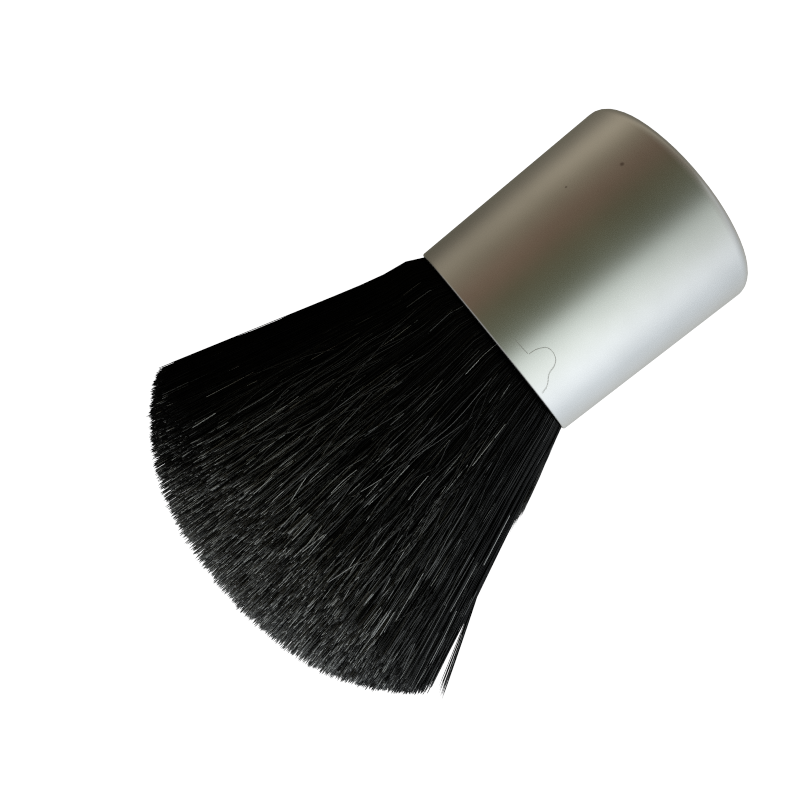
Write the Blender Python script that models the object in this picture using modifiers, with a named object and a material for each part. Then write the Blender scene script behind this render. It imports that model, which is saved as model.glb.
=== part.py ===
"""Neck duster brush: a short drawn-aluminium cup handle that holds a flared tuft of black hair.

The brush stands on the closed end of its cup. Z runs from that end to the hair tips, X across
the wide fan and Y through its thickness. The origin is the centre of the closed end's flat face.
The dimensions below are in millimetres, and the objects are built in metres.
"""

import math

import bmesh
import bpy
from mathutils import Matrix, Vector

MM = 0.001

# Handle cup: one drawn piece with a closed flat end and an open, rounded mouth.
HANDLE_RADIUS = 20.0
HANDLE_HEIGHT = 38.7
WALL = 0.8
FLOOR = 0.9
BASE_FILLET = 2.0

# Clearance left between neighbouring solids.
GAP = 0.3

# Stack inside the cup, from its floor up.
PAD_RADIUS = 16.0
PAD_HEIGHT = 0.6
CORE_TOP = 19.0
CORE_WALL = 1.8
CORE_PLATE = 1.6
CORE_CHAMFER = 1.0
RIB_WIDTH = 1.6
RIB_INSET = 0.5
HUB_RADIUS = 3.2
RING_TOP = 35.9
RING_WALL = 0.5
RING_FLANGE = 0.6
RING_HOLE_RADIUS = 14.0
RESIN_HEIGHT = 5.0

# Knot: the packed roots with a waist where the wire is wound.
ROOT_TOP = 36.5
WAIST_RADIUS = 16.9
WAIST_LOW = 28.2
WAIST_HIGH = 32.6
WAIST_SLOPE = 0.9
WIRE_RADIUS = 0.35
WIRE_TURNS = 4
WIRE_PITCH = 0.95
WIRE_LOW = 28.6
WIRE_SLACK = 0.05
WIRE_POINTS_PER_TURN = 28

# Free hair: it swells a little over the lip, its flanks rise straight, and its tips form a dome.
TUFT_ROOT_RADIUS = 18.6
TUFT_MOUTH_RADIUS = 18.9
LIP_SWELL = 0.60
LIP_SWELL_HEIGHT = 2.0
LIP_SWELL_LEAN = 0.6
FLARE_POS_X = 0.32
FLARE_NEG_X = 0.49
FLARE_Y = 0.124
TIP_HEIGHT = 65.3
DOME_DROP_X = 15.2
DOME_DROP_Y = 22.0
DOME_POWER = 3.7
DOME_TILT = 0.85
TIP_EDGE_ROUNDING = 0.035

# Stray lock: a few hairs that bend away from the wider-leaning flank.
LOCK_LOW = 28.0
LOCK_HIGH = 49.0
LOCK_OFFSET_LOW = 1.05
LOCK_OFFSET_HIGH = 3.2
LOCK_RADIUS = 0.7
LOCK_THINNING = 0.6
LOCK_THINNING_POWER = 3
LOCK_POINTS = 10

# Facets of the round pieces.
TURN_STEPS = 60
INNER_STEPS = 40
FILLET_STEPS = 6
LIP_STEPS = 6
CURVE_BEVEL_STEPS = 2
DOME_RINGS = 9
FLANK_SHARES = (0.66, 0.33, 0.16, 0.10, 0.06, 0.03, 0.012, 0.0)
SHARP_ANGLE = math.radians(32)

# Distances under which points are made one, in metres.
WELD_DISTANCE = 1e-6
AXIS_MERGE_DISTANCE = 1e-5

# name: (colour, roughness, metallic)
LOOKS = {
    "handle_shell": ((0.78, 0.78, 0.76), 0.36, 1.0),
    "glue_pad": ((0.72, 0.66, 0.50), 0.45, 0.0),
    "core_insert": ((0.20, 0.20, 0.21), 0.50, 0.0),
    "knot_ring": ((0.74, 0.74, 0.72), 0.30, 1.0),
    "resin_plug": ((0.42, 0.27, 0.09), 0.25, 0.0),
    "knot_binding": ((0.55, 0.54, 0.52), 0.32, 1.0),
    "bristle_root": ((0.014, 0.014, 0.015), 0.50, 0.0),
    "bristle_tuft": ((0.012, 0.012, 0.013), 0.45, 0.0),
    "stray_lock": ((0.016, 0.015, 0.014), 0.45, 0.0),
}


def clear_scene():
    for obj in list(bpy.data.objects):
        bpy.data.objects.remove(obj, do_unlink=True)


def new_collection(name):
    collection = bpy.data.collections.new(name)
    bpy.context.scene.collection.children.link(collection)
    return collection


def give_material(obj):
    """The sub-part's own Principled material, from the table of looks."""
    colour, roughness, metallic = LOOKS[obj.name]
    material = bpy.data.materials.new(obj.name + "_material")
    material.use_nodes = True
    shader = material.node_tree.nodes["Principled BSDF"]
    shader.inputs["Base Color"].default_value = (*colour, 1.0)
    shader.inputs["Roughness"].default_value = roughness
    shader.inputs["Metallic"].default_value = metallic
    material.diffuse_color = (*colour, 1.0)
    obj.data.materials.clear()
    obj.data.materials.append(material)


def realised(obj):
    """The same object with its modifiers, or its curve, turned into one welded mesh."""
    bpy.context.view_layer.update()
    graph = bpy.context.evaluated_depsgraph_get()
    mesh = bpy.data.meshes.new_from_object(obj.evaluated_get(graph))
    welded = bmesh.new()
    welded.from_mesh(mesh)
    bmesh.ops.remove_doubles(welded, verts=welded.verts, dist=WELD_DISTANCE)
    welded.to_mesh(mesh)
    welded.free()
    name, matrix = obj.name, obj.matrix_world.copy()
    collection = obj.users_collection[0]
    bpy.data.objects.remove(obj, do_unlink=True)
    solid = bpy.data.objects.new(name, mesh)
    solid.matrix_world = matrix
    collection.objects.link(solid)
    return solid


def shade(obj):
    obj.data.shade_smooth()
    obj.data.set_sharp_from_angle(angle=SHARP_ANGLE)


def turned(name, profile, steps, collection, closed=False, unit=MM):
    """A solid of revolution about Z: the profile runs down its outer side."""
    mesh = bpy.data.meshes.new(name)
    edges = [(i, i + 1) for i in range(len(profile) - 1)]
    if closed:
        edges.append((len(profile) - 1, 0))
    mesh.from_pydata([(r * unit, 0.0, z * unit) for r, z in profile], edges, [])
    obj = bpy.data.objects.new(name, mesh)
    collection.objects.link(obj)
    screw = obj.modifiers.new("turn", "SCREW")
    screw.steps = steps
    screw.render_steps = steps
    screw.use_merge_vertices = True
    screw.merge_threshold = AXIS_MERGE_DISTANCE
    return realised(obj)


def arc(centre, radius, start_deg, end_deg, steps):
    """Points of an arc in the (radius, height) plane, from one angle to the other."""
    points = []
    for i in range(steps + 1):
        angle = math.radians(start_deg + (end_deg - start_deg) * i / steps)
        points.append((centre[0] + radius * math.cos(angle), centre[1] + radius * math.sin(angle)))
    return points


def handle_shell(parts):
    """The cup, from the middle of its inner floor, over the lip, to the middle of its base."""
    inner = HANDLE_RADIUS - WALL
    inner_fillet = BASE_FILLET - WALL
    lip = WALL / 2
    profile = [(0.0, FLOOR)]
    profile += arc((inner - inner_fillet, FLOOR + inner_fillet), inner_fillet, -90, 0, FILLET_STEPS)
    profile += arc((inner + lip, HANDLE_HEIGHT - lip), lip, 180, 0, LIP_STEPS)
    profile += arc((HANDLE_RADIUS - BASE_FILLET, BASE_FILLET), BASE_FILLET, 0, -90, FILLET_STEPS)
    profile.append((0.0, 0.0))
    return turned("handle_shell", profile, TURN_STEPS, parts)


def glue_pad(parts):
    """The disc of glue between the cup's floor and the core insert."""
    low = FLOOR + GAP
    high = low + PAD_HEIGHT
    profile = [(0.0, high), (PAD_RADIUS, high), (PAD_RADIUS, low), (0.0, low)]
    return turned("glue_pad", profile, INNER_STEPS, parts)


def core_insert(parts, joiners):
    """A moulded cap, open downwards, with a cross of ribs and a hub under its plate."""
    outer = HANDLE_RADIUS - WALL - GAP
    inner = outer - CORE_WALL
    low = FLOOR + GAP + PAD_HEIGHT + GAP
    plate_low = CORE_TOP - CORE_PLATE
    profile = [
        (0.0, CORE_TOP),
        (outer - CORE_CHAMFER / 2, CORE_TOP),
        (outer, CORE_TOP - CORE_CHAMFER / 2),
        (outer, low + CORE_CHAMFER),
        (outer - CORE_CHAMFER, low),
        (inner, low),
        (inner, plate_low),
        (0.0, plate_low),
    ]
    core = turned("core_insert", profile, INNER_STEPS, parts)
    rib_low = low + RIB_INSET
    rib_high = plate_low + CORE_PLATE / 2
    size = (2 * inner + CORE_WALL, RIB_WIDTH, rib_high - rib_low)
    for index in range(2):
        rib = bpy.data.meshes.new(f"core_rib_{index}")
        cube = bmesh.new()
        bmesh.ops.create_cube(cube, size=1.0)
        bmesh.ops.scale(cube, vec=Vector(size) * MM, verts=cube.verts)
        cube.to_mesh(rib)
        cube.free()
        place = Matrix.Translation((0.0, 0.0, (rib_low + rib_high) / 2 * MM))
        turn = Matrix.Rotation(index * math.pi / 2, 4, "Z")
        join(core, rib, place @ turn, joiners)
    hub = bpy.data.meshes.new("core_hub")
    cylinder = bmesh.new()
    bmesh.ops.create_cone(
        cylinder,
        cap_ends=True,
        segments=INNER_STEPS // 2,
        radius1=HUB_RADIUS * MM,
        radius2=HUB_RADIUS * MM,
        depth=(rib_high - rib_low) * MM,
    )
    cylinder.to_mesh(hub)
    cylinder.free()
    join(core, hub, Matrix.Translation((0.0, 0.0, (rib_low + rib_high) / 2 * MM)), joiners)
    return realised(core)


def join(target, mesh, matrix, joiners):
    """Adds a hidden helper solid to the target with a Boolean union."""
    helper = bpy.data.objects.new(mesh.name, mesh)
    helper.matrix_world = matrix
    helper.hide_render = True
    helper.display_type = "WIRE"
    joiners.objects.link(helper)
    union = target.modifiers.new(mesh.name, "BOOLEAN")
    union.operation = "UNION"
    union.solver = "EXACT"
    union.object = helper


def knot_ring(parts):
    """The thin ferrule round the knot, with a flange turned in at its foot."""
    outer = HANDLE_RADIUS - WALL - GAP
    inner = outer - RING_WALL
    low = CORE_TOP + GAP
    profile = [
        (outer, RING_TOP),
        (outer, low),
        (RING_HOLE_RADIUS, low),
        (RING_HOLE_RADIUS, low + RING_FLANGE),
        (inner, low + RING_FLANGE),
        (inner, RING_TOP),
    ]
    return turned("knot_ring", profile, INNER_STEPS, parts, closed=True)


def knot_radius():
    return HANDLE_RADIUS - WALL - GAP - RING_WALL - GAP


def resin_low():
    return CORE_TOP + GAP + RING_FLANGE + GAP


def resin_plug(parts):
    """The cast resin that locks the root ends."""
    radius = knot_radius()
    low = resin_low()
    high = low + RESIN_HEIGHT
    profile = [(0.0, high), (radius, high), (radius, low), (0.0, low)]
    return turned("resin_plug", profile, INNER_STEPS, parts)


def bristle_root(parts):
    """The packed straight roots, with a waist under the binding."""
    radius = knot_radius()
    low = resin_low() + RESIN_HEIGHT + GAP
    profile = [
        (0.0, ROOT_TOP),
        (radius, ROOT_TOP),
        (radius, WAIST_HIGH + WAIST_SLOPE),
        (WAIST_RADIUS, WAIST_HIGH),
        (WAIST_RADIUS, WAIST_LOW),
        (radius, WAIST_LOW - WAIST_SLOPE),
        (radius, low),
        (0.0, low),
    ]
    return turned("bristle_root", profile, INNER_STEPS, parts)


def poly_curve(name, points, radii, depth, collection):
    """A round wire or lock through the points, thinned by the radii, with closed ends."""
    data = bpy.data.curves.new(name, "CURVE")
    data.dimensions = "3D"
    data.bevel_depth = depth * MM
    data.bevel_resolution = CURVE_BEVEL_STEPS
    data.use_fill_caps = True
    spline = data.splines.new("POLY")
    spline.points.add(len(points) - 1)
    for point, place, radius in zip(spline.points, points, radii):
        point.co = (*(Vector(place) * MM), 1.0)
        point.radius = radius
    obj = bpy.data.objects.new(name, data)
    collection.objects.link(obj)
    return realised(obj)


def knot_binding(parts):
    """Turns of wire wound round the roots' waist."""
    radius = WAIST_RADIUS + GAP + WIRE_RADIUS + WIRE_SLACK
    count = WIRE_TURNS * WIRE_POINTS_PER_TURN
    points = []
    for i in range(count + 1):
        angle = 2 * math.pi * i / WIRE_POINTS_PER_TURN
        height = WIRE_LOW + WIRE_PITCH * i / WIRE_POINTS_PER_TURN
        points.append((radius * math.cos(angle), radius * math.sin(angle), height))
    return poly_curve("knot_binding", points, [1.0] * len(points), WIRE_RADIUS, parts)


def tuft_section(height):
    """Centre along X, half width and half depth of the hair at a height above the mouth."""
    swell = LIP_SWELL * height / LIP_SWELL_HEIGHT * math.exp(1.0 - height / LIP_SWELL_HEIGHT)
    centre = (FLARE_POS_X - FLARE_NEG_X) / 2 * height + LIP_SWELL_LEAN * swell
    half_width = TUFT_MOUTH_RADIUS + swell + (FLARE_POS_X + FLARE_NEG_X) / 2 * height
    half_depth = TUFT_MOUTH_RADIUS + swell + FLARE_Y * height
    return centre, half_width, half_depth


def tip_height(radial, cosine, sine):
    """Height of the tips above the mouth at a share of the way from the middle to the rim."""
    drop = DOME_DROP_X * cosine**2 + DOME_DROP_Y * sine**2
    tilt = DOME_TILT * cosine * radial
    return TIP_HEIGHT - drop * radial**DOME_POWER + tilt


def tuft_point(radial, share, angle):
    """Place of a point of the unit profile: radial 0 to 1, share 0 at the mouth, 1 at the tips."""
    cosine, sine = math.cos(angle), math.sin(angle)
    if share < 0.0:
        radius = TUFT_ROOT_RADIUS * radial
        low = ROOT_TOP + GAP - HANDLE_HEIGHT
        return Vector((radius * cosine, radius * sine, HANDLE_HEIGHT + low))
    rim = tip_height(1.0, cosine, sine)
    on_flank = share <= 1.0 - TIP_EDGE_ROUNDING / 2
    centre, half_width, half_depth = tuft_section(share * rim if on_flank else rim)
    x = centre + half_width * radial * cosine
    y = half_depth * radial * sine
    return Vector((x, y, HANDLE_HEIGHT + share * tip_height(radial, cosine, sine)))


def bristle_tuft(parts):
    """The free hair: a turned unit form, stretched into the leaning fan with its domed tips."""
    rounding = TIP_EDGE_ROUNDING
    profile = [(i / DOME_RINGS * (1 - 2 * rounding), 1.0) for i in range(DOME_RINGS + 1)]
    profile += [(1 - rounding / 2, 1 - rounding / 4), (1.0, 1 - rounding)]
    profile += [(1.0, share) for share in FLANK_SHARES]
    profile += [(1.0, -1.0), (0.0, -1.0)]
    obj = turned("bristle_tuft", profile, TURN_STEPS, parts, unit=1.0)
    for vertex in obj.data.vertices:
        x, y, share = vertex.co
        vertex.co = tuft_point(math.hypot(x, y), share, math.atan2(y, x)) * MM
    return obj


def stray_lock(parts):
    """The loose lock outside the flank that leans furthest."""
    points = []
    radii = []
    for i in range(LOCK_POINTS):
        share = i / (LOCK_POINTS - 1)
        height = LOCK_LOW + (LOCK_HIGH - LOCK_LOW) * share
        centre, half_width, _ = tuft_section(height)
        offset = LOCK_OFFSET_LOW + (LOCK_OFFSET_HIGH - LOCK_OFFSET_LOW) * share**2
        points.append((centre - half_width - offset, 0.0, HANDLE_HEIGHT + height))
        radii.append(1.0 - LOCK_THINNING * abs(2 * share - 1) ** LOCK_THINNING_POWER)
    return poly_curve("stray_lock", points, radii, LOCK_RADIUS, parts)


def main():
    clear_scene()
    parts = new_collection("neck_duster_brush")
    joiners = new_collection("joiners")
    joiners.hide_render = True
    solids = [
        handle_shell(parts),
        glue_pad(parts),
        core_insert(parts, joiners),
        knot_ring(parts),
        resin_plug(parts),
        knot_binding(parts),
        bristle_root(parts),
        bristle_tuft(parts),
        stray_lock(parts),
    ]
    for solid in solids:
        shade(solid)
        give_material(solid)


main()
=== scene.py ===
"""Looks of a neck duster brush: satin aluminium cup handle and a flared tuft of black hair.

The brush stands on its closed end. Lengths here are in millimetres and become metres where a
mesh or an object is made. X runs across the wide fan, Y through its thickness, Z up to the tips.
"""

import math

import bpy
import numpy as np
from mathutils import Matrix

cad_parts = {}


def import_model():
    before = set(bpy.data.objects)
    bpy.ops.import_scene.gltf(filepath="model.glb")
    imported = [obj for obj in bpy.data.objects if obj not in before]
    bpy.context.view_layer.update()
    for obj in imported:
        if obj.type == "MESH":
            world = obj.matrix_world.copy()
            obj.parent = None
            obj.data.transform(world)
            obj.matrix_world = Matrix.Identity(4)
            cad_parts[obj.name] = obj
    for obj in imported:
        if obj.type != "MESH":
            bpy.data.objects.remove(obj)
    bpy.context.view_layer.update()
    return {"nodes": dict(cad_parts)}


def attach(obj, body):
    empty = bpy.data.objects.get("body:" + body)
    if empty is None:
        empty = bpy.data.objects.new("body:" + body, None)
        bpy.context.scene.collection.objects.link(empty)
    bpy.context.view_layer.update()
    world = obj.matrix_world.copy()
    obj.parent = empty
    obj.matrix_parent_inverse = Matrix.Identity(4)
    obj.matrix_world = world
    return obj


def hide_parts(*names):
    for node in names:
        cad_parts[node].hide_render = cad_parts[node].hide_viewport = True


MM = 0.001
SEED = 20

# Smallest length that is divided by.
TINY = 1e-6

# The solids that the hair follows, as in the CAD.
HANDLE_RADIUS = 20.0
MOUTH = 38.7
MOUTH_RADIUS = 18.9
LIP_SWELL = 0.60
LIP_SWELL_HEIGHT = 2.0
LIP_SWELL_LEAN = 0.6
FLARE_POS_X = 0.32
FLARE_NEG_X = 0.49
FLARE_Y = 0.124
TIP_HEIGHT = 65.3
DOME_DROP_X = 15.2
DOME_DROP_Y = 22.0
DOME_POWER = 3.7
DOME_TILT = 0.85
SHARP_ANGLE = math.radians(32)
WELD_DISTANCE = 0.001

# Camera: level with the mouth, looking slightly up, and rolled far over.
CAMERA_PLACE = (2.44, -131.3, MOUTH + 1.72)
CAMERA_TILT = math.radians(7.78)
CAMERA_ROLL = math.radians(-128.94)
CAMERA_LENS = 32.4
CAMERA_SENSOR = 36.0
CAMERA_NEAR = 5.0
PIXEL_FILTER = 1.1

# White backdrop: its level where the camera sees it, and the floor's half side and drop.
WHITE_LEVEL = 1.05
FLOOR_HALF_SIDE = 4000.0
FLOOR_DROP = 0.2

# Surroundings seen in reflections, by compass angle from the camera side towards -X, in degrees:
# (angle, level at the horizon, level 20 degrees below it, tint).
SURROUNDINGS = (
    (-180, 0.22, 0.24, (1.00, 1.00, 0.84)),
    (-150, 0.10, 0.13, (1.00, 0.93, 0.68)),
    (-125, 0.13, 0.19, (1.00, 0.89, 0.69)),
    (-100, 0.31, 0.44, (1.00, 0.88, 0.67)),
    (-75, 0.19, 0.19, (1.00, 0.85, 0.60)),
    (-50, 0.17, 0.13, (1.00, 0.63, 0.44)),
    (-25, 0.092, 0.075, (1.00, 0.95, 0.52)),
    (0, 0.112, 0.09, (0.92, 1.00, 0.63)),
    (14, 0.20, 0.11, (0.90, 1.00, 0.75)),
    (30, 0.81, 0.56, (0.91, 1.00, 0.93)),
    (55, 1.10, 0.70, (0.94, 1.00, 0.97)),
    (80, 1.22, 0.88, (0.91, 0.96, 1.00)),
    (110, 0.81, 0.70, (0.87, 0.94, 1.00)),
    (150, 0.54, 0.52, (0.99, 1.00, 0.96)),
    (180, 0.22, 0.24, (1.00, 1.00, 0.84)),
)
ABOVE_LEVEL = 0.35
BELOW_COLOUR = (0.23, 0.21, 0.18)
BELOW_SHARE = 0.45

# Heights between which one of those levels passes into the next, as sines of the angle above
# the horizon.
LOWER_RING_BAND = (0.0, -0.34)
ABOVE_BAND = (0.45, 0.90)
BELOW_BAND = (-0.45, -0.90)

# How rough the finer layers of every random pattern are.
NOISE_ROUGHNESS = 0.55

# Satin aluminium: its fine grain and wide clouding, in features per metre, and its two specks,
# (centre, radius), each fully dark out to a share of its radius.
GRAIN_SCALE = 9000.0
GRAIN_DETAIL = 2.0
CLOUD_SCALE = 90.0
CLOUD_DETAIL = 3.0
METAL_STOPS = ((0.30, (0.79, 0.79, 0.775)), (0.70, (0.86, 0.86, 0.85)))
METAL_ROUGHNESS = (0.295, 0.325)
CLOUD_ROUGHNESS = (-0.02, 0.02)
GRAIN_STRENGTH = 0.03
GRAIN_DEPTH = 0.02
SPECKS = (((8.98, -17.87, 7.41), 0.42), ((11.81, -16.14, 15.39), 0.26))
SPECK_CORE = 0.4
SPECK_STRENGTH = 0.55
SPECK_COLOUR = (0.10, 0.04, 0.03)

# Pieces inside the cup and under the shown hair:
# (material, dark tone, light tone, scale, roughness, metallic, bump depth, stretch of the pattern).
INNER_LOOKS = {
    "glue_pad": ("glue", (0.60, 0.53, 0.38), (0.76, 0.70, 0.54), 220.0, 0.45, 0.0, 0.05, (1, 1, 1)),
    "core_insert": (
        "moulded_core", (0.035, 0.035, 0.04), (0.055, 0.055, 0.06), 400.0, 0.5, 0.0, 0.05, (1, 1, 1)
    ),
    "knot_ring": (
        "ring_aluminium", (0.70, 0.70, 0.69), (0.80, 0.80, 0.79), 300.0, 0.32, 1.0, 0.01, (1, 1, 8)
    ),
    "resin_plug": ("resin", (0.20, 0.10, 0.02), (0.36, 0.20, 0.06), 160.0, 0.22, 0.0, 0.05, (1, 1, 1)),
    "knot_binding": (
        "binding_wire", (0.42, 0.41, 0.40), (0.62, 0.61, 0.59), 500.0, 0.34, 1.0, 0.05, (1, 1, 1)
    ),
    "bristle_root": (
        "packed_hair", (0.004, 0.004, 0.004), (0.012, 0.011, 0.010), 3000.0, 0.5, 0.0, 0.1, (1, 1, 0.02)
    ),
}
SHADOW_LOOK = (
    "hair_shadow", (0.0012, 0.0012, 0.0014), (0.005, 0.005, 0.005), 2400.0, 0.6, 0.0, 0.2, (1, 1, 0.03)
)
MOTTLE_PLACES = (0.35, 0.65)
MOTTLE_DETAIL = 4.0
FINE_SCALE = 6
ROUGHNESS_SPREAD = 0.08
MOTTLE_STRENGTH = 0.3

# Shades of hair: (colour, roughness, lowest and highest specular level). The dark shades are the
# hair's own tones; the grey and the glint shades are painted highlights on it.
HAIR_LOOKS = {
    "hair_jet": ((0.0026, 0.0026, 0.0028), 0.36, (0.05, 0.40)),
    "hair_black": ((0.0052, 0.0054, 0.0056), 0.40, (0.15, 0.70)),
    "hair_charcoal": ((0.0140, 0.0142, 0.0148), 0.38, (0.30, 1.00)),
    "hair_slate": ((0.0340, 0.0345, 0.0355), 0.38, (0.30, 1.00)),
    "hair_brown": ((0.0300, 0.0260, 0.0170), 0.48, (0.30, 0.80)),
    # The next two shades are painted highlights, not colours of the hair.
    "hair_painted_gleam": ((0.1200, 0.1220, 0.1260), 0.36, (0.40, 1.00)),
    "hair_painted_glint": ((0.5000, 0.5050, 0.5100), 0.32, (0.60, 1.00)),
    "hair_shed": ((0.7000, 0.6900, 0.6400), 0.45, (0.30, 0.60)),
}
HAIR_ORDER = tuple(HAIR_LOOKS)
GLOSS_PATCH_SCALE = 260.0
GLOSS_PATCH_DETAIL = 2.0
GLOSS_PATCHES = (0.4, 1.6)

# Shares of the shades in HAIR_ORDER, from the first shade on.
BLACK_SHARES = (0.44, 0.28, 0.16, 0.08, 0.04)
BROWNED_SHARES = (0.25, 0.25, 0.12, 0.08, 0.30)
# Flyaways are largely in the grey and glint shades: painted highlights.
FLYAWAY_SHARES = (0.04, 0.10, 0.22, 0.20, 0.04, 0.30, 0.10)

# How gloss is spread among the hairs of a piece, as a beta distribution's two shape numbers.
LAYER_TONES = (1.6, 2.6)
FLYAWAY_TONES = (2.5, 1.5)
EVEN_TONES = (2.0, 2.0)

# Where painted light changes shades: the share of gleams, the painted highlights, that are the
# brightest shade, how late in its length a hair is painted lighter out of the painted shade at its
# root, and how much a hair's extra painted light adds to its gleams.
GLINT_SHARE = 0.36
RISE_POWER = 2.2
GLEAM_LIFT = 0.6

# Painted light on the hair: hairs at the dome's middle are painted lighter than those at its edge,
# and those on the +X flank, which faces the dark side of the studio, are painted nearly black as
# painted shade: (place across the fan, lightness).
CROWN_LIFT = 0.6
CROWN_EDGE = 0.78
SIDE_PAINTED_LIGHT = (
    (-1.0, 0.30),
    (-0.8, 0.60),
    (-0.5, 0.95),
    (0.2, 1.0),
    (0.4, 0.8),
    (0.55, 0.5),
    (0.7, 0.2),
    (0.85, 0.06),
    (1.0, 0.03),
)
# Painted shade darkens a hair's shade at most to this share.
DARKEST_PAINTED_SHADE = 0.35

# Form of every hair: how far inside the mouth and in from its edge it begins, the length of its
# pointed end, its number of sides, how thick it still is below its point, and the direction
# that its sides are laid out from.
ROOT_DEPTH = 1.5
ROOT_INSET = 0.35
TIP_LENGTH = 0.4
SIDES = 3
BLUNT_SHARE = 0.85
SIDE_GUIDE = np.array([0.15, 1.0, 0.05])

# Neighbouring hairs gather in clumps at their tips and sway together in wider locks, spaced in
# shares of the unit disc. Numbers for a cell of such a grid come from one of CELLS rows.
CLUMP_SPACING = 0.032
CLUMP_HEIGHT = 0.8
CLUMP_JITTER = (0.15, 0.7)
CLUMP_STRENGTH = (0.4, 1.2)
LOCK_SPACING = 0.12
LOCK_TWIST = 2.5
LOCK_SWAY = 3.2
LOCK_WAVES = (1.5, 3.0)
CELLS = 100003
CELL_STEPS = (928371, 68917)

# How single hairs stray: the degrees of freedom of their twist and its limit, their ripple as a
# share of their bend, its waves up a hair, and the share of outward straying that their
# neighbours hold back.
TWIST_FREEDOM = 3
MOST_TWIST = 5
RIPPLE_SHARE = 0.4
RIPPLE_WAVES = (1.5, 4.0)
KEPT_IN = 0.9
LEVEL = np.array([1.0, 1.0, 0.0])

# Layers of hair: long hairs round the flanks, and the ends of those that make up the domed tips.
# inner and outer bound the scatter in shares of the tuft's radius, start is the share of its
# length where a hair is first shown, and lift, painted shade at the root lifting to painted light at
# the tip, and gleams, painted highlights, go from root to tip.
FLANK_LAYERS = 4
FLANK_LAYER = {
    "count": 2300,
    "inner": 0.88,
    "outer": 1.006,
    "start": 0.0,
    "points": 13,
    "radius": 0.088,
    "lift": (-0.20, 0.56),
    "gleams": (0.09, 0.52),
    "run": 2,
    "clumping": 0.30,
    "bend": 0.50,
    "twist": 0.035,
    "length_spread": 1.00,
    "tip_spread": 0.25,
}
DOME_LAYERS = 3
DOME_LAYER = {
    "count": 3800,
    "inner": 0.0,
    "outer": 0.985,
    "start": 0.80,
    "points": 7,
    "radius": 0.095,
    "lift": (0.10, 0.50),
    "gleams": (0.20, 0.85),
    "run": 1,
    "clumping": 0.35,
    "bend": 0.30,
    "twist": 0.010,
    "length_spread": 0.30,
    "tip_spread": 0.20,
}
LAYER_RADII = (0.75, 1.25)

# Longer, wavy single hairs that lie across the flanks: where they begin, how long they are and
# where they must end, in shares of the flank's height; their drift round it; their waves (size,
# fewest, most); and how far they stand off it, less at the two X sides, where they sink in.
FLYAWAY_COUNT = 720
FLYAWAY_POINTS = 28
FLYAWAY_BEGINS = (0.01, 0.35, 0.7)
FLYAWAY_LENGTHS = (0.28, 0.8)
FLYAWAY_ENDS = (0.9, 1.01)
FLYAWAY_DRIFT = 0.12
FLYAWAY_MOST_DRIFT = 0.7
FLYAWAY_WAVES = ((0.016, 1.0, 2.2), (0.006, 3.0, 6.0))
FLYAWAY_LIFT = 0.15
FLYAWAY_ARCH = 0.7
FLYAWAY_SINK = 1.4
FLYAWAY_RADII = (0.055, 0.10)
FLYAWAY_SHADES = {"shares": FLYAWAY_SHARES, "lift": (-0.35, 0.15), "gleams": (0.05, 0.12), "run": 6}

# Shorter hairs on the -X flank: lowest, commonest and highest place of their tips, and how far
# those stand off the flank there.
SIDE_COUNT = 900
SIDE_POINTS = 6
SIDE_RADIUS = 0.075
SIDE_TIPS = (13.0, 15.4, 20.5)
SIDE_PROUD = (0.3, 0.9, -0.2)
SIDE_PROUD_SPREAD = 0.08
SIDE_TURN = 0.17
SIDE_ROOT_INSET = (0.3, 1.2)
SIDE_TIP_SPREAD = 1.6
SIDE_BOW = 0.15
SIDE_SHADES = {"shares": BROWNED_SHARES, "lift": (0.0, 0.3), "gleams": (0.02, 0.08)}

# Stray lock: heights where its hairs begin, where they leave the flank and of their tips; their
# reach there, less for some of them; how soon they bend; and their spread through the fan.
LOCK_COUNT = 18
LOCK_POINTS = 16
LOCK_RADIUS = 0.085
LOCK_BEGINS = (18.0, 24.0)
LOCK_LEAVES = 29.0
LOCK_TOP = 49.3
LOCK_TOP_SPREAD = 0.9
LOCK_REACH = 3.2
LOCK_NEARER_SHARE = 0.3
LOCK_NEARER = 0.75
LOCK_REACH_SPREAD = (0.86, 1.12)
LOCK_CURVE = 0.9
LOCK_DEPTH_SPREAD = (0.5, 0.6)
LOCK_SHADES = {"shares": BLACK_SHARES, "lift": (0.0, 0.0), "gleams": (0.02, 0.05)}
NARROW_RADII = (0.8, 1.2)

# Shed hair on the metal: (arc length round the handle from the camera side, depth below the mouth).
LOOSE_HAIR_RADIUS = 0.07
LOOSE_HAIR_ALPHA = 0.28
LOOSE_HAIR_TONE = 0.4
LOOSE_HAIR_STEPS = 8
LOOSE_HAIR = (
    (
        (4.6, 2.9),
        (4.8, 4.3),
        (5.6, 5.6),
        (6.8, 5.9),
        (8.0, 5.6),
        (8.8, 4.8),
        (9.4, 3.4),
        (10.9, 2.1),
        (11.5, 0.7),
    ),
    ((1.55, 2.6), (2.9, 2.66), (4.5, 2.78)),
)

# Dark core under the shown hair: its depth below it, its top as a share of the tips' height, and
# its facets round, up its side and across its top.
CORE_INSET = 2.2
CORE_TOP = 0.93
CORE_ROUND = 72
CORE_RISES = 14
CORE_RINGS = 8


# ---------------------------------------------------------------- node helpers


def new_material(name):
    material = bpy.data.materials.new(name)
    material.use_nodes = True
    tree = material.node_tree
    return material, tree, tree.nodes["Principled BSDF"]


def add_node(tree, kind, **settings):
    """A node with some of its inputs or properties set, by name."""
    node = tree.nodes.new(kind)
    for key, value in settings.items():
        if key in node.inputs:
            node.inputs[key].default_value = value
        else:
            setattr(node, key, value)
    return node


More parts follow.
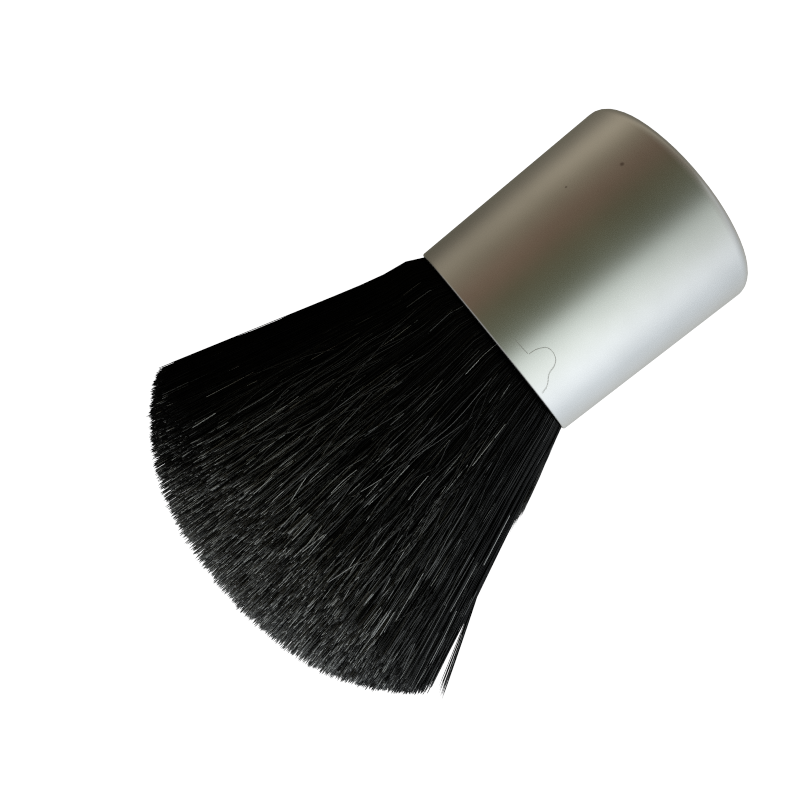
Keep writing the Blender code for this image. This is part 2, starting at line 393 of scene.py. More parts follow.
def ramp(tree, fac, stops):
    """A colour ramp through stops of (place, colour)."""
    node = tree.nodes.new("ShaderNodeValToRGB")
    elements = node.color_ramp.elements
    while len(elements) < len(stops):
        elements.new(0.5)
    for element, (place, colour) in zip(elements, stops):
        element.position = place
        element.color = (*colour, 1.0)
    tree.links.new(fac, node.inputs["Fac"])
    return node.outputs["Color"]


def noise(tree, vector, scale, detail):
    """Soft random patches; detail counts the finer layers in them."""
    node = add_node(tree, "ShaderNodeTexNoise", Scale=scale, Detail=detail, Roughness=NOISE_ROUGHNESS)
    tree.links.new(vector, node.inputs["Vector"])
    return node.outputs["Fac"]


def map_range(tree, value, low, high, start=0.0, end=1.0):
    """The value moved from the range start to end into the range low to high, and kept in it."""
    node = tree.nodes.new("ShaderNodeMapRange")
    node.inputs["From Min"].default_value = start
    node.inputs["From Max"].default_value = end
    node.inputs["To Min"].default_value = low
    node.inputs["To Max"].default_value = high
    tree.links.new(value, node.inputs["Value"])
    return node.outputs["Result"]


def math_node(tree, operation, first, second, clamp=False):
    node = tree.nodes.new("ShaderNodeMath")
    node.operation = operation
    node.use_clamp = clamp
    for socket, value in zip(node.inputs, (first, second)):
        if isinstance(value, (int, float)):
            socket.default_value = value
        else:
            tree.links.new(value, socket)
    return node.outputs[0]


def mix_colour(tree, share, first, second):
    """A mix of two colours, each fixed or from a node, by a share that is fixed or from a node."""
    node = tree.nodes.new("ShaderNodeMix")
    node.data_type = "RGBA"
    if isinstance(share, float):
        node.inputs["Factor"].default_value = share
    else:
        tree.links.new(share, node.inputs["Factor"])
    for socket, colour in ((node.inputs["A"], first), (node.inputs["B"], second)):
        if isinstance(colour, (list, tuple)):
            socket.default_value = (*colour, 1.0)
        else:
            tree.links.new(colour, socket)
    return node.outputs["Result"]


def camera_split(tree, seen, otherwise):
    """A shader that camera rays see as one shader, and all other rays as another."""
    camera_ray = tree.nodes.new("ShaderNodeLightPath").outputs["Is Camera Ray"]
    choose = tree.nodes.new("ShaderNodeMixShader")
    tree.links.new(camera_ray, choose.inputs["Fac"])
    tree.links.new(otherwise, choose.inputs[1])
    tree.links.new(seen, choose.inputs[2])
    return choose.outputs[0]


def bump(tree, shader, height, strength, depth):
    node = add_node(tree, "ShaderNodeBump", Strength=strength, Distance=depth * MM)
    tree.links.new(height, node.inputs["Height"])
    tree.links.new(node.outputs["Normal"], shader.inputs["Normal"])


def object_place(tree):
    return tree.nodes.new("ShaderNodeTexCoord").outputs["Object"]


def stretched(tree, vector, scale):
    node = tree.nodes.new("ShaderNodeMapping")
    node.inputs["Scale"].default_value = scale
    tree.links.new(vector, node.inputs["Vector"])
    return node.outputs["Vector"]


# ---------------------------------------------------------------- materials


def satin_aluminium():
    """Fine bead-blasted and anodised metal, with faint handling marks and two dark specks."""
    material, tree, shader = new_material("satin_aluminium")
    place = object_place(tree)
    grain = noise(tree, place, GRAIN_SCALE, GRAIN_DETAIL)
    cloud = noise(tree, place, CLOUD_SCALE, CLOUD_DETAIL)
    shader.inputs["Metallic"].default_value = 1.0
    colour = ramp(tree, cloud, METAL_STOPS)
    for centre, radius in SPECKS:
        colour = speck(tree, place, colour, centre, radius)
    tree.links.new(colour, shader.inputs["Base Color"])
    fine = map_range(tree, grain, *METAL_ROUGHNESS)
    rough = math_node(tree, "ADD", fine, map_range(tree, cloud, *CLOUD_ROUGHNESS))
    tree.links.new(rough, shader.inputs["Roughness"])
    bump(tree, shader, grain, GRAIN_STRENGTH, GRAIN_DEPTH)
    return material


def speck(tree, place, colour, centre, radius):
    """Darkens a small soft-edged spot of the metal."""
    distance = add_node(tree, "ShaderNodeVectorMath", operation="DISTANCE")
    tree.links.new(place, distance.inputs[0])
    distance.inputs[1].default_value = [value * MM for value in centre]
    away = distance.outputs["Value"]
    share = map_range(tree, away, SPECK_STRENGTH, 0.0, SPECK_CORE * radius * MM, radius * MM)
    return mix_colour(tree, share, colour, SPECK_COLOUR)


def mottled(name, dark, light, scale, roughness, metallic, depth, stretch):
    """A cast, moulded, wound or packed material: two tones, uneven roughness and a fine bump."""
    material, tree, shader = new_material(name)
    place = stretched(tree, object_place(tree), stretch)
    cloud = noise(tree, place, scale, MOTTLE_DETAIL)
    fine = noise(tree, place, scale * FINE_SCALE, MOTTLE_DETAIL)
    stops = tuple(zip(MOTTLE_PLACES, (dark, light)))
    tree.links.new(ramp(tree, cloud, stops), shader.inputs["Base Color"])
    rough = map_range(tree, fine, roughness - ROUGHNESS_SPREAD, roughness + ROUGHNESS_SPREAD)
    tree.links.new(rough, shader.inputs["Roughness"])
    shader.inputs["Metallic"].default_value = metallic
    bump(tree, shader, fine, MOTTLE_STRENGTH, depth)
    return material


def hair_material(name):
    """One shade of hair; its gloss varies along each hair and from hair to hair."""
    colour, roughness, (dull, glossy) = HAIR_LOOKS[name]
    material, tree, shader = new_material(name)
    shader.inputs["Base Color"].default_value = (*colour, 1.0)
    shader.inputs["Roughness"].default_value = roughness
    tone = add_node(tree, "ShaderNodeAttribute", attribute_name="tone").outputs["Fac"]
    patches = noise(tree, object_place(tree), GLOSS_PATCH_SCALE, GLOSS_PATCH_DETAIL)
    level = math_node(tree, "MULTIPLY", tone, map_range(tree, patches, *GLOSS_PATCHES), clamp=True)
    shader.inputs["Specular IOR Level"].default_value = (dull + glossy) / 2
    tree.links.new(map_range(tree, level, dull, glossy), shader.inputs["Specular IOR Level"])
    if name == "hair_shed":
        shader.inputs["Alpha"].default_value = LOOSE_HAIR_ALPHA
    return material


# ---------------------------------------------------------------- the form of the tuft


def lip_swell(rise):
    """How far the hair bulges over the lip at a height above the mouth."""
    return LIP_SWELL * rise / LIP_SWELL_HEIGHT * np.exp(1.0 - rise / LIP_SWELL_HEIGHT)


def tuft_section(height):
    """Centre along X, half width and half depth of the tuft at a height above the mouth."""
    rise = np.maximum(height, 0.0)
    swell = lip_swell(rise)
    centre = (FLARE_POS_X - FLARE_NEG_X) / 2 * rise + LIP_SWELL_LEAN * swell
    half_width = MOUTH_RADIUS + swell + (FLARE_POS_X + FLARE_NEG_X) / 2 * rise
    half_depth = MOUTH_RADIUS + swell + FLARE_Y * rise
    return centre, half_width, half_depth


def tip_height(u, v):
    """Height of the tips above the mouth for unit-disc places u (along X) and v (along Y)."""
    radial = np.hypot(u, v)
    safe = np.maximum(radial, TINY)
    drop = (DOME_DROP_X * (u / safe) ** 2 + DOME_DROP_Y * (v / safe) ** 2) * radial**DOME_POWER
    return TIP_HEIGHT - drop + DOME_TILT * u


def tip_places(u, v):
    """Tips of hairs rooted at the unit-disc places, as an array of points above the mouth."""
    radial = np.maximum(np.hypot(u, v), TINY)
    rim = tip_height(u / radial, v / radial)
    centre, half_width, half_depth = tuft_section(rim)
    return np.stack([centre + half_width * u, half_depth * v, tip_height(u, v)], axis=1)


def root_places(u, v):
    """Points just inside the mouth where hairs at the unit-disc places begin."""
    radius = MOUTH_RADIUS - ROOT_INSET
    return np.stack([radius * u, radius * v, np.full_like(u, -ROOT_DEPTH)], axis=1)


def flank_place(angle, share, lift):
    """Points on the tuft's flank: by angle round it, share of the way up it, and lift off it."""
    cosine, sine = np.cos(angle), np.sin(angle)
    height = share * tip_height(cosine, sine)
    centre, width, depth = tuft_section(height)
    return np.stack([centre + (width + lift) * cosine, (depth + lift) * sine, height], axis=-1)


# ---------------------------------------------------------------- how hairs lie


def unit(vectors):
    return vectors / np.maximum(np.linalg.norm(vectors, axis=-1, keepdims=True), TINY)


def disc(rng, count, inner, outer):
    """Even scatter of unit-disc places between two shares of the radius."""
    radial = np.sqrt(rng.uniform(inner**2, outer**2, count))
    angle = rng.uniform(0, 2 * np.pi, count)
    return radial * np.cos(angle), radial * np.sin(angle)


def shared_numbers(rng, u, v, spacing, columns):
    """Random numbers from 0 to 1 that hairs rooted in the same cell of a grid share."""
    cell = np.floor(u / spacing) * CELL_STEPS[0] + np.floor(v / spacing) * CELL_STEPS[1]
    return rng.uniform(0, 1, (CELLS, columns))[cell.astype(np.int64) % CELLS]


def clump_pull(numbers, u, v):
    """Unit-disc offset of each hair towards its clump's centre."""
    jitter = CLUMP_JITTER[0] + CLUMP_JITTER[1] * numbers
    centre_u = (np.floor(u / CLUMP_SPACING) + jitter[:, 0]) * CLUMP_SPACING
    centre_v = (np.floor(v / CLUMP_SPACING) + jitter[:, 1]) * CLUMP_SPACING
    return centre_u - u, centre_v - v


def gathered(clump, u, v, clumping):
    """Unit-disc places drawn towards their clumps, and never further out than they were."""
    pull_u, pull_v = clump_pull(clump, u, v)
    strength = clumping * (CLUMP_STRENGTH[0] + CLUMP_STRENGTH[1] * clump[:, 2])
    near_u, near_v = u + pull_u * strength, v + pull_v * strength
    outside = np.maximum(np.hypot(near_u, near_v) / np.hypot(u, v), 1)
    return near_u / outside, near_v / outside


def turned(u, v, turn):
    """Unit-disc places turned about the tuft's middle."""
    return u * np.cos(turn) - v * np.sin(turn), u * np.sin(turn) + v * np.cos(turn)


def waves(share, phase, count, side):
    """Sideways waves that grow towards the tip: phase and count per hair, side a vector per hair."""
    swing = np.sin(np.pi * count[:, None] * share + 2 * np.pi * phase[:, None]) * share
    return swing[:, :, None] * side[:, None, :]


def wandering(rng, share, bend, lock, spread):
    """How far each hair strays from a straight line along its length: bow, ripple and sway."""
    count = len(lock)
    bow = rng.normal(0, bend, (count, 3)) * LEVEL
    ripple = rng.normal(0, bend * RIPPLE_SHARE, (count, 3)) * LEVEL
    heading = np.stack([lock[:, 0], 1 - lock[:, 0], 0 * lock[:, 0]], axis=1)
    sway = (lock[:, 2:3] - 0.5) * LOCK_SWAY * bend * heading
    strays = np.sin(np.pi * share)[:, :, None] * bow[:, None, :] + share[:, :, None] * spread[:, None, :]
    strays += waves(share, rng.uniform(0, 1, count), rng.uniform(*RIPPLE_WAVES, count), ripple)
    strays += waves(share, lock[:, 1], LOCK_WAVES[0] + LOCK_WAVES[1] * lock[:, 3], sway)
    return strays


def grow(rng, u, v, start, points, clumping, bend, twist, length_spread, tip_spread):
    """Paths of hairs from the mouth to their tips: an array (hairs, points, 3).

    start is the share of its length where each hair's shown part begins.
    """
    count = len(u)
    roots = root_places(u, v)
    clump = shared_numbers(rng, u, v, CLUMP_SPACING, 3)
    lock = shared_numbers(rng, u, v, LOCK_SPACING, 5)
    turn = np.clip(rng.standard_t(TWIST_FREEDOM, count) * twist, -MOST_TWIST * twist, MOST_TWIST * twist)
    turn += (lock[:, 4] - 0.5) * LOCK_TWIST * twist
    tips = tip_places(*turned(*gathered(clump, u, v, clumping), turn))
    spread = rng.normal(0, tip_spread, (count, 3)) * LEVEL
    longer = clump[:, 2] * CLUMP_HEIGHT - np.abs(rng.normal(0, length_spread, count))
    tips += (tips - roots) * (longer / (tips - roots)[:, 2])[:, None]
    blunt = 1 - TIP_LENGTH / (TIP_HEIGHT * (1 - start))
    share = np.append(np.linspace(0, blunt, points - 1), 1.0)[None, :]
    share = start + (1 - start) * np.repeat(share, count, axis=0)
    paths = roots[:, None, :] + (tips - roots)[:, None, :] * share[:, :, None]
    strays = wandering(rng, share, bend, lock, spread)
    outward = unit(np.stack([u, v, 0 * u], axis=1))[:, None, :]
    proud = np.maximum(np.sum(strays * outward, axis=2, keepdims=True), 0)
    swell = lip_swell(np.maximum(paths[:, :, 2], 0))[:, :, None]
    lean = np.stack([u + LIP_SWELL_LEAN, v, 0 * u], axis=1)[:, None, :]
    return paths + strays - KEPT_IN * proud * outward + swell * lean


# ---------------------------------------------------------------- shades of hair


def side_painted_light(u):
    """How much painted light a hair gets for its place across the fan; low values are painted shade."""
    places, levels = zip(*SIDE_PAINTED_LIGHT)
    return np.interp(u, places, levels)


def pick_shades(rng, count, stretches, shares, lift, gleams, painted_light, run=1, extra=0.0):
    """Material numbers (hairs, stretches): each hair's own shade, painted lighter up its length by lift
    out of painted shade at its root, with short gleams that are painted highlights.

    shares are the shades' shares in HAIR_ORDER, lift and gleams go from the first stretch to the
    last, fade darkens each hair as painted shade, a gleam runs for at least run stretches, and
    extra paints a hair lighter all along it as painted light.
    """
    edges = np.cumsum(np.array(shares) / sum(shares))
    # lift: painted shade at the root that rises to painted light at the tip.
    upward = np.linspace(0, 1, stretches)[None, :] ** RISE_POWER
    rise = lift[0] + (lift[1] - lift[0]) * upward
    extra = np.broadcast_to(extra, count)[:, None]
    # Painted shade: hairs on the dark side are pushed towards the darkest shades and get fewer gleams.
    darker = DARKEST_PAINTED_SHADE + (1 - DARKEST_PAINTED_SHADE) * painted_light[:, None]
    own = (rng.uniform(0, 1, count)[:, None] + rise + extra) * darker
    shades = np.minimum(np.searchsorted(edges, own), len(shares) - 1)
    chance = (gleams[0] + (gleams[1] - gleams[0]) * upward + GLEAM_LIFT * extra) * painted_light[:, None]
    runs = math.ceil(stretches / run)
    draw = np.repeat(rng.uniform(0, 1, (count, runs)), run, axis=1)[:, :stretches]
    # Gleams: short stretches in the grey and glint shades, painted highlights.
    shades = np.where(draw < chance, HAIR_ORDER.index("hair_painted_gleam"), shades)
    return np.where(draw < chance * GLINT_SHARE, HAIR_ORDER.index("hair_painted_glint"), shades)


# ---------------------------------------------------------------- hair meshes


def strand_vertices(paths, radii):
    """Vertices of each hair: a ring of corners at each point of its path but the last, its tip."""
    rings = paths.shape[1] - 1
    along = unit(np.gradient(paths, axis=1))
    first = unit(np.cross(along, SIDE_GUIDE))
    second = np.cross(along, first)
    taper = np.ones(rings)
    taper[-1] = BLUNT_SHARE
    reach = (radii[:, None] * taper)[:, :, None]
    corners = []
    for side in range(SIDES):
        angle = 2 * math.pi * side / SIDES
        offset = first[:, :rings] * math.cos(angle) + second[:, :rings] * math.sin(angle)
        corners.append(paths[:, :rings] + offset * reach)
    body = np.stack(corners, axis=2).reshape(len(paths), rings * SIDES, 3)
    return np.concatenate([body, paths[:, -1:, :]], axis=1)


def strand_faces(count, rings):
    """Vertex numbers of all faces, and where each face starts among them: first the quads up the
    sides of every hair, then each hair's triangles round its tip and the one that closes its root."""
    per_hair = rings * SIDES + 1
    quads = []
    for low in range(0, (rings - 1) * SIDES, SIDES):
        for side in range(SIDES):
            after = (side + 1) % SIDES
            quads.append((low + side, low + after, low + SIDES + after, low + SIDES + side))
    last = (rings - 1) * SIDES
    triangles = [(last + side, last + (side + 1) % SIDES, per_hair - 1) for side in range(SIDES)]
    triangles.append(tuple(reversed(range(SIDES))))
    base = (np.arange(count) * per_hair)[:, None, None]
    numbers = [(np.array(faces)[None] + base).reshape(-1) for faces in (quads, triangles)]
    quad_corners, triangle_corners = (len(row) for row in numbers)
    starts = [np.arange(0, quad_corners, 4), quad_corners + np.arange(0, triangle_corners, 3)]
    return np.concatenate(numbers), np.concatenate(starts)


def strand_slots(shades):
    """Material number of each face, in the order of strand_faces."""
    sides = np.repeat(shades[:, :-1], SIDES, axis=1)
    ends = np.concatenate([np.repeat(shades[:, -1:], SIDES, axis=1), shades[:, :1]], axis=1)
    return np.concatenate([sides.reshape(-1), ends.reshape(-1)])


def strand_mesh(name, paths, radii, tones, shades):
    """One mesh of thin hairs that end in points. Paths are in mm above the mouth.

    shades holds a material number for each stretch between two points of each hair.
    """
    vertices = strand_vertices(paths, radii)
    corners, starts = strand_faces(len(paths), paths.shape[1] - 1)
    places = vertices.reshape(-1, 3)
    places[:, 2] += MOUTH
    mesh = bpy.data.meshes.new(name)
    mesh.vertices.add(len(places))
    mesh.vertices.foreach_set("co", (places * MM).astype(np.float32).reshape(-1))
    mesh.loops.add(len(corners))
    mesh.loops.foreach_set("vertex_index", corners.astype(np.int32))
    mesh.polygons.add(len(starts))
    mesh.polygons.foreach_set("loop_start", starts.astype(np.int32))
    mesh.polygons.foreach_set("material_index", strand_slots(shades).astype(np.int32))
    mesh.polygons.foreach_set("use_smooth", np.ones(len(starts), dtype=bool))
    mesh.update(calc_edges=True)
    mesh.validate()
    tone = mesh.attributes.new("tone", "FLOAT", "POINT")
    tone.data.foreach_set("value", np.repeat(tones, vertices.shape[1]).astype(np.float32))
    for shade in HAIR_ORDER:
        mesh.materials.append(bpy.data.materials[shade])
    return linked(name, mesh)


def linked(name, data):
    """A new object of the scene that holds the data."""
    obj = bpy.data.objects.new(name, data)
    bpy.context.scene.collection.objects.link(obj)
    return obj


# ---------------------------------------------------------------- pieces of hair


def hair_layer(name, rng, count, inner, outer, start, points, radius, lift, gleams, run, **shape):
    """A scatter of hairs over part of the tuft's unit disc."""
    u, v = disc(rng, count, inner, outer)
    paths = grow(rng, u, v, start, points, **shape)
    radii = rng.uniform(*LAYER_RADII, count) * radius
    # Painted shade: hairs towards the +X flank are painted darker and less glossy.
    painted_light = side_painted_light(u)
    tones = rng.beta(*LAYER_TONES, count) * painted_light
    # Painted light: hairs at the dome's middle are painted lighter and gleam more than those at its edge.
    crown = CROWN_LIFT * (CROWN_EDGE - np.hypot(u, v))
    shades = pick_shades(rng, count, points - 1, BLACK_SHARES, lift, gleams, painted_light, run, crown)
    return strand_mesh(name, paths, radii, tones, shades)


def flyaway_drift(rng, share, begins):
    """How far round the flank each flyaway hair has drifted and waved at each share of its height."""
    column = (len(share), 1)
    limit = FLYAWAY_MOST_DRIFT
    drift = np.clip(rng.standard_t(TWIST_FREEDOM, column) * FLYAWAY_DRIFT, -limit, limit) * (share - begins)
    for size, fewest, most in FLYAWAY_WAVES:
        turns = rng.uniform(fewest, most, column)
        phase = rng.uniform(0, 2 * np.pi, column)
        drift = drift + rng.normal(0, size, column) * np.sin(2 * np.pi * turns * share + phase)
    return drift


def flyaway_hair(name, rng):
    """Longer, wavy single hairs that lie across the flanks and catch the light, which is painted on
    them: many are in the grey and glint shades, as painted highlights.
    """
    count, column = FLYAWAY_COUNT, (FLYAWAY_COUNT, 1)
    angle = rng.uniform(0, 2 * np.pi, column)
    begins = rng.triangular(*FLYAWAY_BEGINS, column)
    ends = np.minimum(begins + rng.uniform(*FLYAWAY_LENGTHS, column), rng.uniform(*FLYAWAY_ENDS, column))
    share = begins + (ends - begins) * np.linspace(0, 1, FLYAWAY_POINTS)[None, :]
    around = angle + flyaway_drift(rng, share, begins)
    arch = np.sin(np.pi * (share - begins) / (ends - begins))
    lift = FLYAWAY_LIFT + rng.uniform(0, FLYAWAY_ARCH, column) * arch
    lift = lift * np.abs(np.sin(around)) - FLYAWAY_SINK * np.abs(np.cos(around)) ** 3
    paths = flank_place(around, share, lift)
    # Painted shade: flyaways on the +X side are painted darker and less glossy.
    painted_light = side_painted_light(np.cos(angle[:, 0]))
    shades = pick_shades(rng, count, FLYAWAY_POINTS - 1, painted_light=painted_light, **FLYAWAY_SHADES)
    tones = rng.beta(*FLYAWAY_TONES, count) * painted_light
    return strand_mesh(name, paths, rng.uniform(*FLYAWAY_RADII, count), tones, shades)


def side_hair(name, rng):
    """Shorter hairs on the -X flank: it bulges as far as their tips, then steps in."""
    count = SIDE_COUNT
    turn = rng.normal(0, SIDE_TURN, count)
    reach = MOUTH_RADIUS - rng.uniform(*SIDE_ROOT_INSET, count)
    roots = np.stack([-reach * np.cos(turn), reach * np.sin(turn), np.full(count, -ROOT_DEPTH)], axis=1)
    height = rng.triangular(*SIDE_TIPS, count)
    centre, half_width, _ = tuft_section(height)
    proud = np.interp(height, SIDE_TIPS, SIDE_PROUD) + rng.normal(0, SIDE_PROUD_SPREAD, count)
    tips = np.stack([centre - half_width - proud, rng.normal(0, SIDE_TIP_SPREAD, count), height], axis=1)
    share = np.linspace(0, 1, SIDE_POINTS)[None, :, None]
    paths = roots[:, None, :] + (tips - roots)[:, None, :] * share
    paths = paths + rng.normal(0, SIDE_BOW, (count, 1, 3)) * np.sin(np.pi * share)
    shades = pick_shades(rng, count, SIDE_POINTS - 1, painted_light=np.ones(count), **SIDE_SHADES)
    radii = rng.uniform(*NARROW_RADII, count) * SIDE_RADIUS
    return strand_mesh(name, paths, radii, rng.beta(*EVEN_TONES, count), shades)


def stray_lock(name, rng):
    """A few hairs that lie on the -X flank and bend away from it towards their tips."""
    count, column = LOCK_COUNT, (LOCK_COUNT, 1)
    lowest = rng.uniform(*LOCK_BEGINS, column)
    highest = LOCK_TOP - np.abs(rng.normal(0, LOCK_TOP_SPREAD, column))
    height = lowest + (highest - lowest) * np.linspace(0, 1, LOCK_POINTS)[None, :]
    centre, half_width, _ = tuft_section(height)
    bent = np.maximum(height - LOCK_LEAVES, 0) / (LOCK_TOP - LOCK_LEAVES)
    apart = np.where(rng.uniform(0, 1, column) < LOCK_NEARER_SHARE, LOCK_NEARER, 1.0)
    reach = LOCK_REACH * apart * rng.uniform(*LOCK_REACH_SPREAD, column)
    x = centre - half_width - reach * bent**LOCK_CURVE
    own, bending = LOCK_DEPTH_SPREAD
    y = rng.normal(0, own, column) + rng.normal(0, bending, column) * bent
    paths = np.stack([x, y, height], axis=-1)
    shades = pick_shades(rng, count, LOCK_POINTS - 1, painted_light=np.ones(count), **LOCK_SHADES)
    radii = rng.uniform(*NARROW_RADII, count) * LOCK_RADIUS
    return strand_mesh(name, paths, radii, rng.beta(*EVEN_TONES, count), shades)


def smooth_line(values, t):
    """Catmull-Rom interpolation of values at the places t, counted in steps between values."""
    padded = np.concatenate([[2 * values[0] - values[1]], values, [2 * values[-1] - values[-2]]])
    step = np.minimum(t.astype(int), len(values) - 2)
    f = t - step
    a, b, c, d = (padded[step + k] for k in range(4))
    return 0.5 * (2 * b + (c - a) * f + (2 * a - 5 * b + 4 * c - d) * f**2 + (3 * b - a - 3 * c + d) * f**3)


def loose_hair():
    """One shed hair that lies curled on the metal below the mouth, and its short broken end."""
    pieces = []
    for index, line in enumerate(LOOSE_HAIR):
        points = np.array(line)
        t = np.linspace(0, len(points) - 1, LOOSE_HAIR_STEPS * len(points))
        turn = smooth_line(points[:, 0], t) / HANDLE_RADIUS
        below = smooth_line(points[:, 1], t)
        reach = HANDLE_RADIUS + LOOSE_HAIR_RADIUS
        path = np.stack([-reach * np.sin(turn), -reach * np.cos(turn), -below], axis=-1)[None]
        shades = np.full((1, len(t) - 1), HAIR_ORDER.index("hair_shed"))
        radii, tones = np.array([LOOSE_HAIR_RADIUS]), np.array([LOOSE_HAIR_TONE])
        pieces.append(strand_mesh(f"loose_hair_{index + 1}", path, radii, tones, shades))
    return pieces


def hair_core():
    """The dark mass of hair under the shown layers, coloured as black hair in painted shade, so that
    nothing shines through the tuft.
    """
    profile = [(1.0, i / CORE_RISES * CORE_TOP) for i in range(CORE_RISES + 1)]
    profile += [(1.0 - i / CORE_RINGS, CORE_TOP) for i in range(1, CORE_RINGS + 1)]
    angle = np.linspace(0, 2 * np.pi, CORE_ROUND, endpoint=False)
    cosine, sine = np.cos(angle), np.sin(angle)
    rim = tip_height(cosine, sine)
    vertices = []
    for radial, share in profile:
        centre, width, depth = tuft_section(share * rim)
        x = centre + (width - CORE_INSET) * radial * cosine
        y = (depth - CORE_INSET) * radial * sine
        height = share * tip_height(radial * cosine, radial * sine)
        vertices.append(np.stack([x, y, MOUTH + height], axis=1))
    faces = []
    for low in range(0, (len(profile) - 1) * CORE_ROUND, CORE_ROUND):
        high = low + CORE_ROUND
        for k in range(CORE_ROUND):
            after = (k + 1) % CORE_ROUND
            faces.append((low + k, low + after, high + after, high + k))
    faces.append(tuple(reversed(range(CORE_ROUND))))
    mesh = bpy.data.meshes.new("hair_core")
    mesh.from_pydata((np.concatenate(vertices) * MM).tolist(), [], faces)
    mesh.validate()
    mesh.shade_smooth()
    mesh.materials.append(mottled(*SHADOW_LOOK))
    return linked("hair_core", mesh)


def build_hair():
    """All the pieces of separate hairs."""
    rng = np.random.default_rng(SEED)
    for shade in HAIR_ORDER:
        hair_material(shade)
    pieces = []
    for index in range(FLANK_LAYERS):
        pieces.append(hair_layer(f"flank_hair_{index + 1}", rng, **FLANK_LAYER))
    for index in range(DOME_LAYERS):
        pieces.append(hair_layer(f"dome_hair_{index + 1}", rng, **DOME_LAYER))
    pieces.append(flyaway_hair("flyaway_hair", rng))
    pieces.append(side_hair("side_hair", rng))
    pieces.append(stray_lock("stray_lock_hair", rng))
    return pieces + loose_hair()


# ---------------------------------------------------------------- carried-over solids


def smoothing_group():
    """Rounds the shading of a faceted solid, and keeps its sharp edges."""
    group = bpy.data.node_groups.new("smooth_shading", "GeometryNodeTree")
    group.interface.new_socket("Geometry", in_out="INPUT", socket_type="NodeSocketGeometry")
    group.interface.new_socket("Geometry", in_out="OUTPUT", socket_type="NodeSocketGeometry")
    last = group.nodes.new("NodeGroupInput").outputs["Geometry"]
    weld = group.nodes.new("GeometryNodeMergeByDistance")
    weld.inputs["Distance"].default_value = WELD_DISTANCE * MM
    unset = group.nodes.new("GeometryNodeRemoveAttribute")
    unset.inputs["Name"].default_value = "custom_normal"
    faces = group.nodes.new("GeometryNodeSetShadeSmooth")
    edges = group.nodes.new("GeometryNodeSetShadeSmooth")
    edges.domain = "EDGE"
    angle = group.nodes.new("GeometryNodeInputMeshEdgeAngle")
    gentle = group.nodes.new("FunctionNodeCompare")
    gentle.operation = "LESS_THAN"
    gentle.inputs["B"].default_value = SHARP_ANGLE
    group.links.new(angle.outputs["Unsigned Angle"], gentle.inputs["A"])
    group.links.new(gentle.outputs["Result"], edges.inputs["Shade Smooth"])
    for node in (weld, unset, faces, edges):
        group.links.new(last, node.inputs["Geometry"])
        last = node.outputs["Geometry"]
    out = group.nodes.new("NodeGroupOutput")
    group.links.new(last, out.inputs["Geometry"])
    return group


def dress_nodes(nodes):
    """Gives the solids that carry over their materials and smooth shading."""
    looks = {"handle_shell": satin_aluminium()}
    for name, look in INNER_LOOKS.items():
        looks[name] = mottled(*look)
    group = smoothing_group()
    for name, material in looks.items():
        node = nodes[name]
        node.data.materials.clear()
        node.data.materials.append(material)
        node.modifiers.new("smooth_shading", "NODES").node_group = group


# ---------------------------------------------------------------- stage


def build_camera():
    data = bpy.data.cameras.new("photo_camera")
    data.lens = CAMERA_LENS
    data.sensor_width = CAMERA_SENSOR
    data.sensor_fit = "HORIZONTAL"
    data.clip_start = CAMERA_NEAR * MM
    camera = linked("photo_camera", data)
    upright = Matrix.Rotation(math.pi / 2 + CAMERA_TILT, 4, "X")
    roll = Matrix.Rotation(CAMERA_ROLL, 4, "Z")
    place = Matrix.Translation([value * MM for value in CAMERA_PLACE])
    camera.matrix_world = place @ upright @ roll
    bpy.context.scene.camera = camera


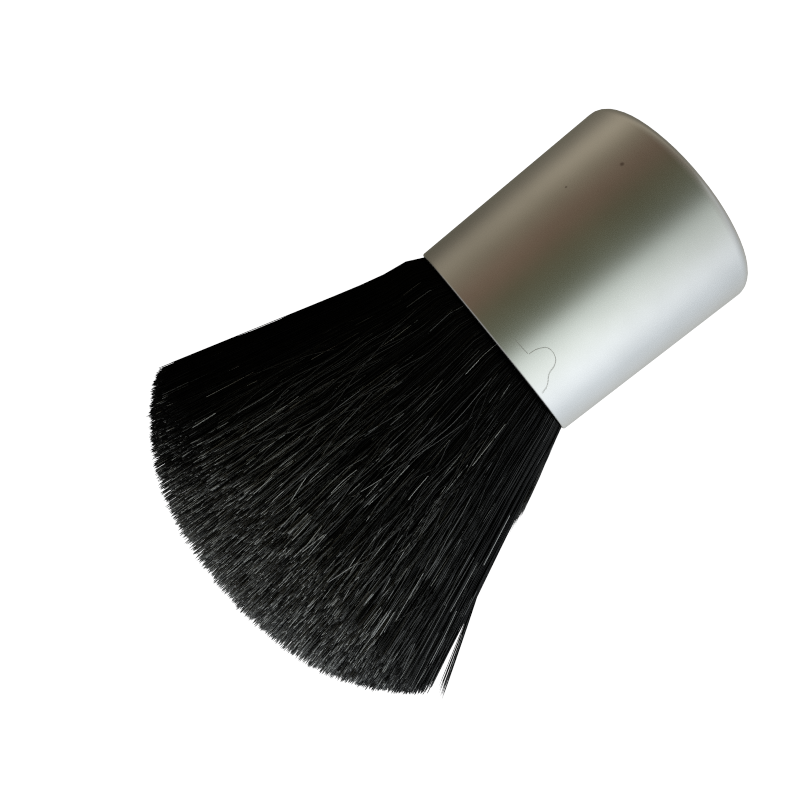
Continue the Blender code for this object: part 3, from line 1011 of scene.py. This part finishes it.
def studio_colour(tree):
    """What reflections see in each direction: a bright and a dark side, in a ring at the horizon
    and a ring below it, and plain levels overhead and underfoot."""
    split = tree.nodes.new("ShaderNodeSeparateXYZ")
    tree.links.new(tree.nodes.new("ShaderNodeTexCoord").outputs["Generated"], split.inputs[0])
    towards_x = math_node(tree, "MULTIPLY", split.outputs["X"], -1.0)
    towards_y = math_node(tree, "MULTIPLY", split.outputs["Y"], -1.0)
    compass = math_node(tree, "ARCTAN2", towards_x, towards_y)
    share = math_node(tree, "ADD", math_node(tree, "DIVIDE", compass, 2 * math.pi), 0.5)
    rings = []
    for column in (1, 2):
        stops = [((row[0] + 180) / 360, [row[column] * value for value in row[3]]) for row in SURROUNDINGS]
        rings.append(ramp(tree, share, stops))
    bands = (LOWER_RING_BAND, ABOVE_BAND, BELOW_BAND)
    lower, above, below = (map_range(tree, split.outputs["Z"], 0.0, 1.0, *band) for band in bands)
    colour = mix_colour(tree, lower, *rings)
    colour = mix_colour(tree, above, colour, [ABOVE_LEVEL] * 3)
    shaded = mix_colour(tree, BELOW_SHARE, colour, BELOW_COLOUR)
    return mix_colour(tree, below, colour, shaded)


def build_world():
    """White where the camera looks, and the studio in reflections."""
    world = bpy.data.worlds.new("studio")
    world.use_nodes = True
    tree = world.node_tree
    tree.nodes.clear()
    studio = tree.nodes.new("ShaderNodeBackground")
    tree.links.new(studio_colour(tree), studio.inputs["Color"])
    white = add_node(tree, "ShaderNodeBackground", Color=(1, 1, 1, 1), Strength=WHITE_LEVEL)
    out = tree.nodes.new("ShaderNodeOutputWorld")
    tree.links.new(camera_split(tree, white.outputs[0], studio.outputs[0]), out.inputs["Surface"])
    bpy.context.scene.world = world


def build_floor():
    """A pale studio floor that glows white where the camera sees it, and that all other rays pass through.
    """
    mesh = bpy.data.meshes.new("studio_floor")
    half = FLOOR_HALF_SIDE * MM
    corners = [(-half, -half, 0), (half, -half, 0), (half, half, 0), (-half, half, 0)]
    mesh.from_pydata(corners, [], [(0, 1, 2, 3)])
    material, tree, shader = new_material("floor_white")
    tree.nodes.remove(shader)
    white = add_node(tree, "ShaderNodeEmission", Strength=WHITE_LEVEL)
    clear = tree.nodes.new("ShaderNodeBsdfTransparent")
    shown = camera_split(tree, white.outputs[0], clear.outputs[0])
    tree.links.new(shown, tree.nodes["Material Output"].inputs["Surface"])
    mesh.materials.append(material)
    floor = linked("studio_floor", mesh)
    floor.location.z = -FLOOR_DROP * MM


def main():
    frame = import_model()
    bpy.context.scene.view_settings.view_transform = "Standard"
    bpy.context.scene.cycles.use_denoising = False
    bpy.context.scene.cycles.filter_width = PIXEL_FILTER
    build_camera()
    build_world()
    build_floor()
    dress_nodes(frame["nodes"])
    pieces = {piece.name: piece for piece in [hair_core(), *build_hair()]}
    for piece in pieces.values():
        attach(piece, "root")
    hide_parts("bristle_tuft")
    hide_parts("stray_lock")


main()
